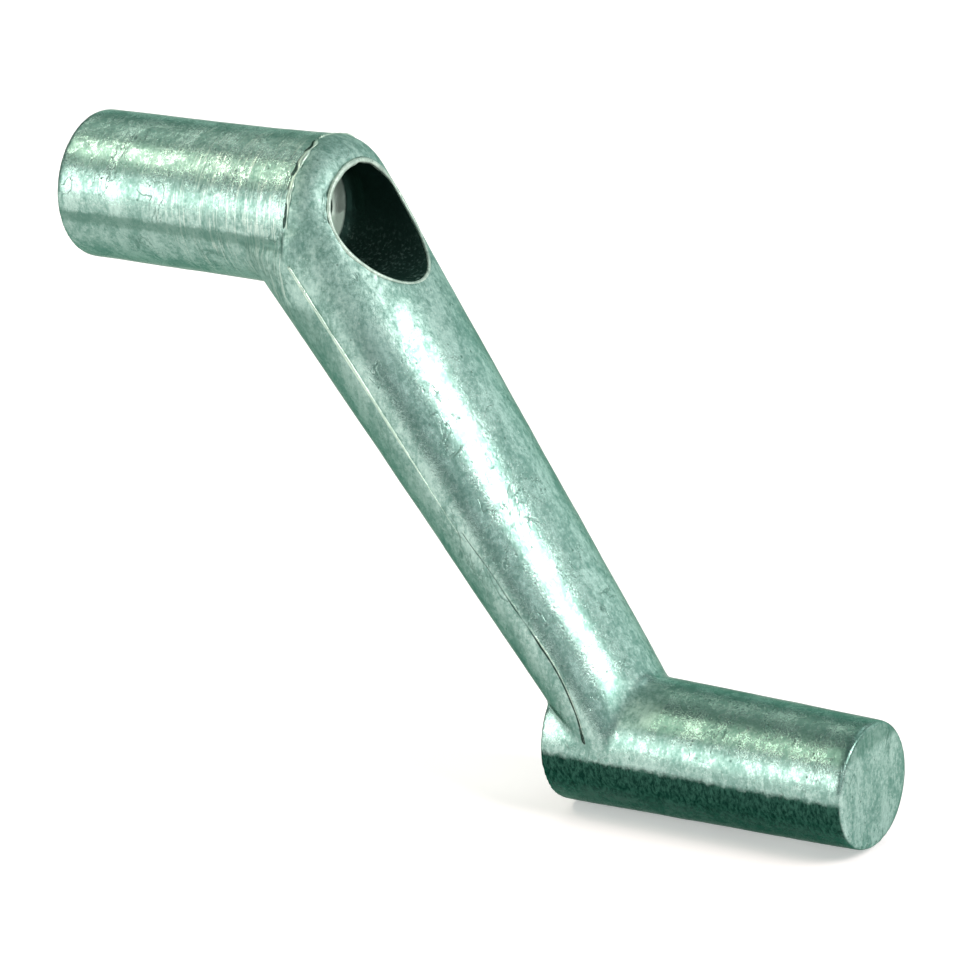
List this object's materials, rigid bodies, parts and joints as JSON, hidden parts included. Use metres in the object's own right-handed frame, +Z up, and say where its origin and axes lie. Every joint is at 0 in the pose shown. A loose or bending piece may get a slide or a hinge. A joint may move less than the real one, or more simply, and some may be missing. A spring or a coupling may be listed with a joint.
{
  "type": "crank handle",
  "caption": "Cast crank handle: hub with keyed shaft socket and counterbored retaining-screw hole, leaning tapered arm and drafted round finger grip.",
  "frame": {"origin": "centre of the shaft socket's mouth, on the hub axis", "axes": "+X along the hub axis from the shaft side to the grip side, +Z up, the arm hangs towards -Z, mirror plane XZ"},
  "size_m": [0.1094, 0.0214, 0.082],
  "materials": {
    "zinc": "as cast, bare"
  },
  "bodies": {
    "root": {"crank_handle": "zinc"}
  },
  "joints": []
}
